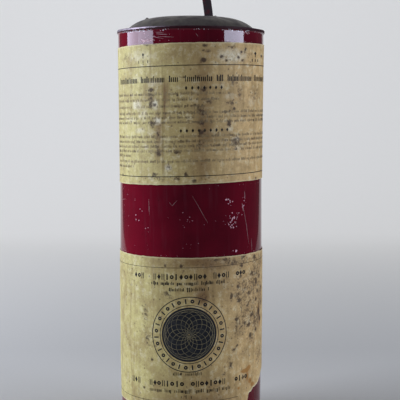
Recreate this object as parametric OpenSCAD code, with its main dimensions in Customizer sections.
// Emergency carbide torch for railway work: a sealed tinplate can of calcium
// carbide with a gas burner under a pull-off plug in its domed top and a water
// inlet under a second plug in its base. All sizes are in millimetres.
// The can stands on z = 0 and its front, where the labels are read, faces -Y.

/* [Can body] */
// Diameter of the body below the upper label
body_d = 87.3; // [84:0.1:92]
// Height of the top rim above the surface that the can stands on
rim_h = 246; // [240:1:256]
// Thickness of the tinplate
tin_t = 0.4; // [0.3:0.05:0.45]
// How far the body bells out to its top rim, on the radius
bell = 0.85; // [0.2:0.05:1.1]
// Length of the belled stretch below the top rim
bell_l = 95; // [60:5:110]
// How far the end seams stand out from the body
seam_out = 0.7; // [0.6:0.05:0.9]
// Height of the end seams
seam_h = 1.8; // [1.6:0.1:2.4]

/* [Ends] */
// Height of the dome's crown above the top rim
dome_h = 8; // [6:0.5:9]
// Depth of the groove between the top rim and the dome
groove_d = 3; // [2:0.5:4]
// How far the base panel is set up into the can
base_recess = 6.6; // [6:0.1:8]
// Radius of the neck bore that each plug closes
neck_r = 19; // [18.5:0.1:19.5]
// Length of each neck
neck_l = 10.5; // [10:0.5:12]

/* [Plugs and pull straps] */
// Depth of the plug's wall in the neck
plug_l = 6.3; // [5:0.1:7]
// Radial play between plug and neck
plug_play = 0.06; // [0.03:0.01:0.09]
// Radius of the plug's flange
flange_r = 22.6; // [22:0.1:23]
// Distance of the pull strap's middle from the can's axis
strap_x = 11.1; // [9:0.1:11.5]
// Width of the pull straps
strap_w = 5.3; // [4:0.1:6]
// Thickness of the strap metal
strap_t = 0.5; // [0.4:0.05:0.6]
// Height of the upper strap's loop above its hinge wire
loop_h = 41; // [36:1:46]
// Half the width of the upper strap's finger loop, to the middle of the metal
loop_r = 7.5; // [6:0.5:9]
// Sideways lean of the upper strap
lean = 8; // [0:1:10]
// Length of the flat lower strap from its hinge wire to its round end
tongue_l = 29; // [24:1:31]

/* [Labels] */
// Thickness of the label paper
paper_t = 0.2; // [0.15:0.05:0.25]
// Height of the upper label's lower edge
upper_label_foot = 155.3; // [140:0.1:156]
// Height of the upper label's paper
upper_label_h = 80.9; // [60:0.1:81.5]
// Height of the lower label's lower edge
lower_label_foot = 21; // [18:0.1:24]
// Height of the lower label's paper
lower_label_h = 91; // [70:0.1:100]
// Width of the glued lap where a label's ends meet, in degrees
lap_deg = 10; // [6:1:14]

/* [Carbide charge] */
// Number of layers of lumps
layers = 7; // [5:1:8]
// Number of lumps in a layer
lumps_per_layer = 6; // [5:1:7]
// Least gap between two lumps
lump_gap = 0.6; // [0.4:0.1:2]

/* [Hidden] */

// Fineness of round parts
$fn = 96;
// Clearance between tin parts that touch without being joined
slip = 0.03;
// A length that reaches past any wall
past = 1;

// Radii of the body at its foot and at its top rim
foot_r = body_d / 2;
top_r = foot_r + bell;
// Straight stretch of the body just under the top rim
neck_straight = 8;

// Height of the crown over the dome's foot, and the radius of that foot
dome_rise = dome_h + groove_d;
dome_r = top_r - 2 * tin_t - slip - 1.2;
// The dome's fall from its crown follows this power of the radius
dome_power = 5;
// Inner edge of the crown, and the depth of the seat that the plug lies in
crown_r = 24.6;
seat_drop = 0.8;
// Radius of the flat seat and of the lip at the neck's inner end
seat_r = 23.6;
lip_r = neck_r - 1.5;

// Thickness of the sealing washer under each plug's flange
seal_t = 0.3;
// Radii of the groove wall in a plug, and how far its middle panel is sunk
plug_groove_r = 16.4;
panel_drop = 0.5;

// Radius of the hinge wire, its height over the panel and its half length
wire_r = 0.7;
wire_h = 1.9;
wire_half = 4.2;
// Bore of the strap's eye round the wire
eye_r = wire_r + 0.06;
// Length over which the upper strap's two layers lie together
joined_l = 17;
// Radius of the straps' rivets, and their distance from the hinge wire in each strap
rivet_r = 1;
loop_rivet_at = 13.5;
tongue_rivet_at = 5;
// Round end of the flat strap and the hole in it
tongue_end_r = 6;
tongue_hole_r = 3.5;

// Thickness of the punched plates, and the hole and pitch of the fine ones in the necks
plate_t = 0.8;
fine_hole_r = 0.9;
fine_step = 4;
// Radius of the wire hoops
hoop_r = 1;
upper_hoop_z = rim_h - 24;
lower_hoop_z = 24;
pad_t = 8;
plate_play = 0.3;

// Water tube: radius, wall, lower and upper end, flange and holes
tube_r = 7;
tube_t = 0.5;
tube_z = [19, 205];
tube_flange_r = 11;
tube_hole_r = 1.6;
tube_hole_step = 15;

// Heights of the labels' lower and upper edges
upper_label_z = [upper_label_foot, upper_label_foot + upper_label_h];
lower_label_z = [lower_label_foot, lower_label_foot + lower_label_h];

// Part of the lower label that was torn off: its bearing from the front and its outline
tear_deg = 76;
tear_outline = [[-20, -1], [-17.3, 5.2], [-7.4, 9], [0.8, 13.9], [7.6, 15.9], [15.6, 14.5], [22.5, 7], [27, -1]];

// Height of the seats that the plugs lie on, measured along the can's axis
top_seat_z = rim_h + dome_z(crown_r) - seat_drop;
base_seat_z = base_recess;

// Height of the dome over the top rim at radius r
function dome_z(r) = -groove_d + dome_rise * (1 - pow(r / dome_r, dome_power));

// Outer radius of the body at height z
function body_ro(z) =
    let (start = rim_h - bell_l, end = rim_h - neck_straight)
    foot_r + bell * max(0, min(1, (z - start) / (end - start)));

// Inner radius of the body at height z
function body_ri(z) = body_ro(z) - tin_t;

// Direction of a run, and the normal on its left
function unit(v) = v / norm(v);
function left(v) = [-v[1], v[0]];

// A line set off to its left by t, with mitred corners
function set_off(p, t) =
    let (n = len(p))
    [for (i = [0 : n - 1])
        let (
            a = left(unit(i == 0 ? p[1] - p[0] : p[i] - p[i - 1])),
            b = left(unit(i == n - 1 ? p[i] - p[i - 1] : p[i + 1] - p[i]))
        )
        p[i] + t * (a + b) / (1 + a * b)];

function reversed(p) = [for (i = [len(p) - 1 : -1 : 0]) p[i]];

// Outline of sheet metal of thickness t that lies on the left of the line p
function sheet(p, t) = concat(p, reversed(set_off(p, t)));

// Everything except the first point
function tail(p) = [for (i = [1 : len(p) - 1]) p[i]];

// Section of an end plate seamed to a body of radius a. The line p runs from the
// rim's inner edge to the neck, with the rim's top at 0.
function end_section(a, p) =
    let (
        under = set_off(p, tin_t),
        out = a + seam_out
    )
    concat(
        [[a + slip, -seam_h], [out - 0.15, -seam_h], [out, -seam_h + 0.15],
         [out, -0.25], [out - 0.25, 0]],
        p,
        reversed(tail(under)),
        [[a - tin_t - slip, -tin_t - slip],
         [a + seam_out - tin_t, -tin_t - slip],
         [a + seam_out - tin_t, -seam_h + tin_t],
         [a + slip, -seam_h + tin_t]]
    );

// Run from a seat at height z down the neck to its lip
function neck_run(z) = [[neck_r, z], [neck_r, z - neck_l], [lip_r, z - neck_l]];

// Inner edge of an end's rim on a body of radius a
function rim_inner(a) = a - 2 * tin_t - slip;

module can_body() {
    color("firebrick")
    rotate_extrude()
    polygon([
        [foot_r + 0.25, tin_t + 0.05], [foot_r + 0.25, 2 * tin_t + 0.05],
        [foot_r, 2 * tin_t + 0.05], [foot_r, rim_h - bell_l],
        [top_r, rim_h - neck_straight], [top_r, rim_h - 2 * tin_t - 0.05],
        [top_r + 0.25, rim_h - 2 * tin_t - 0.05], [top_r + 0.25, rim_h - tin_t - 0.05],
        [top_r - tin_t, rim_h - tin_t - 0.05], [top_r - tin_t, rim_h - neck_straight],
        [foot_r - tin_t, rim_h - bell_l], [foot_r - tin_t, tin_t + 0.05]
    ]);
}

module top_end() {
    steps = 12;
    wall = rim_inner(top_r);
    dome = [for (k = [steps : -1 : 0])
        let (r = crown_r + (dome_r - crown_r) * sin(90 * k / steps))
        [r, dome_z(r)]];
    seat = top_seat_z - rim_h;
    color("dimgray")
    translate([0, 0, rim_h])
    rotate_extrude()
    polygon(end_section(top_r, concat(
        [[wall, 0], [wall, -groove_d], [wall - 0.3, -groove_d - 0.3], [dome_r + 0.3, -groove_d - 0.3]],
        dome,
        [[seat_r, seat]],
        neck_run(seat)
    )));
}

module bottom_end() {
    wall = rim_inner(foot_r);
    color("silver")
    mirror([0, 0, 1])
    rotate_extrude()
    polygon(end_section(foot_r, concat(
        [[wall, 0], [wall, -base_seat_z + 1], [wall - 1, -base_seat_z]],
        neck_run(-base_seat_z)
    )));
}

// Fillet of solder in the corner between a seam and the body
module seam_fillet(a) {
    color("lightgray")
    rotate_extrude()
    polygon([[a, -seam_h - 0.7], [a, -seam_h], [a + 0.5, -seam_h]]);
}

module rim_solder() {
    translate([0, 0, rim_h]) seam_fillet(top_r);
}

module base_solder() {
    mirror([0, 0, 1]) seam_fillet(foot_r);
}

// Paper of thickness t lying t0 proud of the body between two heights, over sweep degrees
module wrapped_paper(z, t0, t, sweep) {
    knee = rim_h - bell_l;
    levels = z[0] < knee && z[1] > knee ? [z[0], knee, z[1]] : z;
    inner = [for (h = levels) [body_ro(h) + t0, h]];
    outer = [for (h = levels) [body_ro(h) + t0 + t, h]];
    rotate_extrude(angle = sweep) polygon(concat(inner, reversed(outer)));
}

// A label glued right round the body, with a lap that starts at a bearing from the front
module label(z, lap_at) {
    wrapped_paper(z, 0, paper_t, 360);
    rotate([0, 0, lap_at - 90]) wrapped_paper(z, paper_t, paper_t, lap_deg);
}

module upper_label() {
    color("burlywood") label(upper_label_z, 99);
}

module lower_label() {
    color("burlywood")
    difference() {
        label(lower_label_z, 88);
        rotate([0, 0, tear_deg])
        translate([0, 0, lower_label_z[0]])
        rotate([90, 0, 0])
        linear_extrude(foot_r + past)
        polygon(tear_outline);
    }
}

// Round plate with rings of holes: rings of pitch step, six more holes in each ring
module punched_plate(r, t, hole_r, step, first = 1) {
    rings = floor((r - hole_r - 0.8) / step);
    difference() {
        cylinder(r = r, h = t);
        for (k = [first : rings])
            for (i = [0 : 6 * k - 1])
                rotate([0, 0, 60 * i / k])
                translate([k * step, 0, -past])
                cylinder(r = hole_r, h = t + 2 * past, $fn = 24);
        if (first == 1)
            translate([0, 0, -past]) cylinder(r = hole_r, h = t + 2 * past, $fn = 24);
    }
}

module burner_plate() {
    color("goldenrod")
    translate([0, 0, top_seat_z - neck_l])
    punched_plate(neck_r - 0.1, plate_t, fine_hole_r, fine_step);
}

// Gauze disc: two layers of fine bars in a ring
module gauze_disc(r) {
    bar = 0.2;
    step = 2.4;
    count = floor((r - 1) / step);
    difference() {
        cylinder(r = r, h = 2 * bar);
        translate([0, 0, -past]) cylinder(r = r - 1, h = 2 * bar + 2 * past);
    }
    for (i = [-count : count]) {
        half = sqrt(pow(r - 0.5, 2) - pow(i * step, 2));
        translate([i * step - bar, -half, 0]) cube([2 * bar, 2 * half, bar]);
        translate([-half, i * step - bar, bar]) cube([2 * half, 2 * bar, bar]);
    }
}

module burner_gauze() {
    color("darkgray")
    translate([0, 0, top_seat_z - neck_l + plate_t])
    gauze_disc(neck_r - 0.1);
}

module inlet_strainer() {
    color("slategray")
    translate([0, 0, base_seat_z + neck_l])
    mirror([0, 0, 1])
    punched_plate(neck_r - 0.1, plate_t, fine_hole_r, fine_step);
}

// Wire hoop soldered to the inside of the body at height z
module hoop(z) {
    color("gray")
    translate([0, 0, z])
    rotate_extrude()
    translate([body_ri(z - hoop_r) - hoop_r - slip, 0])
    circle(r = hoop_r, $fn = 24);
}

module upper_hoop() {
    hoop(upper_hoop_z);
}

module lower_hoop() {
    hoop(lower_hoop_z);
}

// Top of the upper hoop, where the screen, pad and keeper are stacked
stack_z = upper_hoop_z + hoop_r;

module upper_screen() {
    color("slategray")
    translate([0, 0, stack_z])
    punched_plate(body_ri(stack_z) - plate_play, plate_t, 1.5, 5.5);
}

module filter_pad() {
    soft = 1.2;
    r = body_ri(stack_z) - plate_play;
    color("tan")
    translate([0, 0, stack_z + plate_t])
    rotate_extrude()
    polygon([[0, 0], [r - soft, 0], [r, soft], [r, pad_t - soft], [r - soft, pad_t], [0, pad_t]]);
}

module pad_keeper() {
    z = stack_z + plate_t + pad_t;
    color("slategray")
    translate([0, 0, z])
    punched_plate(body_ri(stack_z) - plate_play, plate_t, 2.4, 8);
}

module lower_screen() {
    z = lower_hoop_z + hoop_r;
    color("slategray")
    translate([0, 0, z])
    difference() {
        punched_plate(body_ri(z) - plate_play, plate_t, 1.5, 5.5, 3);
        translate([0, 0, -past]) cylinder(r = tube_r + slip, h = plate_t + 2 * past);
    }
}

module water_tube() {
    flange_z = lower_hoop_z + hoop_r + plate_t;
    length = tube_z[1] - tube_z[0];
    rows = floor((tube_z[1] - flange_z - tube_hole_step) / tube_hole_step);
    color("lightsteelblue")
    difference() {
        union() {
            translate([0, 0, tube_z[0]]) cylinder(r = tube_r, h = length);
            translate([0, 0, flange_z]) cylinder(r = tube_flange_r, h = plate_t);
        }
        translate([0, 0, tube_z[0] - past]) cylinder(r = tube_r - tube_t, h = length + 2 * past);
        for (k = [1 : rows])
            translate([0, 0, flange_z + k * tube_hole_step])
            rotate([90, 0, 90 * (k % 2)])
            cylinder(r = tube_hole_r, h = 2 * tube_r + 2 * past, center = true, $fn = 24);
    }
}

module tube_cap() {
    skirt = 6;
    inner = tube_r + slip;
    color("lightsteelblue")
    translate([0, 0, tube_z[1]])
    rotate_extrude()
    polygon([[0, 0], [inner, 0], [inner, -skirt], [inner + tube_t, -skirt],
             [inner + tube_t, tube_t], [0, tube_t]]);
}

// One broken lump of carbide: what two turned blocks leave of its share of a layer,
// an outline drawn round the can's axis with the lump's middle at radius middle
module lump(outline, h, middle, turns) {
    intersection() {
        linear_extrude(h, center = true) polygon(outline);
        translate([middle, 0, 0]) rotate(turns) cube([1.3, 1, 1] * h, center = true);
        translate([middle, 0, 0]) rotate(-1.4 * turns) cube([1.1, 0.96, 0.96] * h, center = true);
    }
}

module carbide_charge() {
    floor_z = lower_hoop_z + hoop_r + 2 * plate_t;
    ceiling_z = upper_hoop_z - hoop_r;
    layer_h = (ceiling_z - floor_z) / layers;
    inner = tube_flange_r + lump_gap;
    outer = body_ri(0) - lump_gap;
    half = 180 / lumps_per_layer;
    near = [inner, inner * tan(half) - lump_gap];
    far = [outer * cos(half), outer * sin(half) - lump_gap];
    outline = [[near[0], -near[1]], [far[0], -far[1]], [outer, 0], far, near];
    color("darkslategray")
    for (layer = [0 : layers - 1])
        for (i = [0 : lumps_per_layer - 1])
            rotate([0, 0, half * (2 * i + layer)])
            translate([0, 0, floor_z + (layer + 0.5) * layer_h])
            lump(outline, layer_h - lump_gap, (inner + outer) / 2,
                 rands(-30, 30, 3, 17 * layer + i + 3));
}

// Friction plug pressed from sheet: flange, wall, groove and sunk middle panel.
// Its flange's underside is at z = 0.
module friction_plug() {
    wall = neck_r - plug_play - tin_t;
    groove = tin_t - plug_l;
    rotate_extrude()
    polygon(sheet([
        [flange_r, tin_t], [wall, tin_t], [wall, groove],
        [plug_groove_r, groove], [plug_groove_r, -panel_drop], [0, -panel_drop]
    ], tin_t));
}

// Soft washer between the plug's flange and its seat
module sealing_washer() {
    color("saddlebrown")
    difference() {
        cylinder(r = flange_r - 0.4, h = seal_t);
        translate([0, 0, -past]) cylinder(r = neck_r + 0.2, h = seal_t + 2 * past);
    }
}

// Height of the middle panel's face over the seat
panel_z = seal_t - panel_drop;

// Wire staple soldered to the plug's panel. Its bar, on the X axis of its own
// frame, leans by tilt degrees.
module staple(tilt) {
    color("gray")
    intersection() {
        translate([strap_x, 0, panel_z + wire_h])
        rotate([0, -tilt, 0])
        union() {
            rotate([0, 90, 0]) cylinder(r = wire_r, h = 2 * wire_half, center = true, $fn = 32);
            for (side = [-1, 1])
                translate([side * wire_half, 0, 0]) {
                    sphere(r = wire_r, $fn = 32);
                    translate([0, 0, -2 * wire_h]) cylinder(r = wire_r, h = 2 * wire_h, $fn = 32);
                }
        }
        translate([0, -past * 10, panel_z]) cube([plug_groove_r + past * 4, past * 20, wire_h * 4]);
    }
    color("lightgray")
    for (side = [-1, 1])
        translate([strap_x + side * (wire_half - 0.1), 0, panel_z])
        cylinder(r1 = 1.3, r2 = wire_r, h = 0.6, $fn = 32);
}

// Line of the upper strap's metal, from one side of its eye up round the loop to the other
function loop_line() =
    let (
        n = 8,
        arc_n = 16,
        start = strap_t / 2 + 0.02,
        top = loop_h - loop_r - strap_t / 2,
        rise = [for (k = [0 : n])
            let (s = k / n, w = start + (loop_r - start) * s * s * (3 - 2 * s))
            [w, joined_l + (top - joined_l) * s]],
        arc = [for (k = [1 : arc_n - 1])
            let (a = 180 * k / arc_n)
            [loop_r * cos(a), top + loop_r * sin(a)]],
        fall = [for (p = reversed(rise)) [-p[0], p[1]]]
    )
    concat([[start, eye_r]], rise, arc, fall, [[-start, eye_r]]);

// Strap that stands on its hinge wire, the wire along X through the origin
module loop_strap() {
    line = loop_line();
    difference() {
        union() {
            rotate([90, 0, 90])
            linear_extrude(strap_w, center = true)
            polygon(concat(set_off(line, strap_t / 2), reversed(set_off(line, -strap_t / 2))));
            rotate([0, 90, 0])
            cylinder(r = eye_r + strap_t, h = strap_w, center = true, $fn = 48);
        }
        rotate([0, 90, 0])
        cylinder(r = eye_r, h = strap_w + 2 * past, center = true, $fn = 48);
        strap_rivet_bore(loop_rivet_at);
    }
}

// Flat strap that lies along +Y from its hinge wire, with a hole in its round end
module tongue_strap() {
    end_y = tongue_l - tongue_end_r;
    difference() {
        union() {
            translate([-strap_w / 2, 0, -strap_t]) cube([strap_w, end_y, 2 * strap_t]);
            translate([0, end_y, -strap_t]) cylinder(r = tongue_end_r, h = 2 * strap_t);
            rotate([0, 90, 0])
            cylinder(r = eye_r + strap_t, h = strap_w, center = true, $fn = 48);
        }
        rotate([0, 90, 0])
        cylinder(r = eye_r, h = strap_w + 2 * past, center = true, $fn = 48);
        translate([0, end_y, -past]) cylinder(r = tongue_hole_r, h = 2 * past);
        rotate([-90, 0, 0]) strap_rivet_bore(tongue_rivet_at);
    }
}

// Bore for a strap's rivet at a distance from its hinge wire
module strap_rivet_bore(at) {
    translate([0, 0, at])
    rotate([90, 0, 0])
    cylinder(r = rivet_r, h = 4 * past, center = true, $fn = 32);
}

// Rivet through both layers of a strap, with a low cone head on each side
module strap_rivet(at) {
    head_h = 0.35;
    half = strap_t + 0.02;
    translate([0, 0, at])
    rotate([90, 0, 0]) {
        cylinder(r = rivet_r, h = 2 * half, center = true, $fn = 32);
        for (side = [0, 1])
            mirror([0, 0, side])
            translate([0, 0, half])
            cylinder(r1 = 1.6 * rivet_r, r2 = 0.9 * rivet_r, h = head_h, $fn = 32);
    }
}

// Puts its children on the hinge wire of the upper plug, in the strap's own frame
module on_top_wire() {
    translate([strap_x, 0, top_seat_z + panel_z + wire_h])
    rotate([0, -lean, 0])
    children();
}

// Puts its children on the hinge wire of the lower plug
module on_bottom_wire() {
    translate([strap_x, 0, base_seat_z - panel_z - wire_h])
    children();
}

module top_plug() {
    color("darkgray") translate([0, 0, top_seat_z + seal_t]) friction_plug();
}

module top_seal() {
    translate([0, 0, top_seat_z]) sealing_washer();
}

module top_staple() {
    translate([0, 0, top_seat_z]) staple(lean);
}

module top_strap() {
    color("brown") on_top_wire() loop_strap();
}

module top_strap_rivet() {
    color("gray") on_top_wire() strap_rivet(loop_rivet_at);
}

module bottom_plug() {
    color("darkgray") translate([0, 0, base_seat_z - seal_t]) mirror([0, 0, 1]) friction_plug();
}

module bottom_seal() {
    translate([0, 0, base_seat_z]) mirror([0, 0, 1]) sealing_washer();
}

module bottom_staple() {
    translate([0, 0, base_seat_z]) mirror([0, 0, 1]) staple(0);
}

module bottom_strap() {
    color("brown") on_bottom_wire() tongue_strap();
}

module bottom_strap_rivet() {
    color("gray") on_bottom_wire() rotate([-90, 0, 0]) strap_rivet(tongue_rivet_at);
}

can_body();
top_end();
bottom_end();
rim_solder();
base_solder();
upper_label();
lower_label();
burner_plate();
burner_gauze();
inlet_strainer();
pad_keeper();
filter_pad();
upper_screen();
upper_hoop();
carbide_charge();
water_tube();
tube_cap();
lower_screen();
lower_hoop();
top_plug();
top_seal();
top_staple();
top_strap();
top_strap_rivet();
bottom_plug();
bottom_seal();
bottom_staple();
bottom_strap();
bottom_strap_rivet();
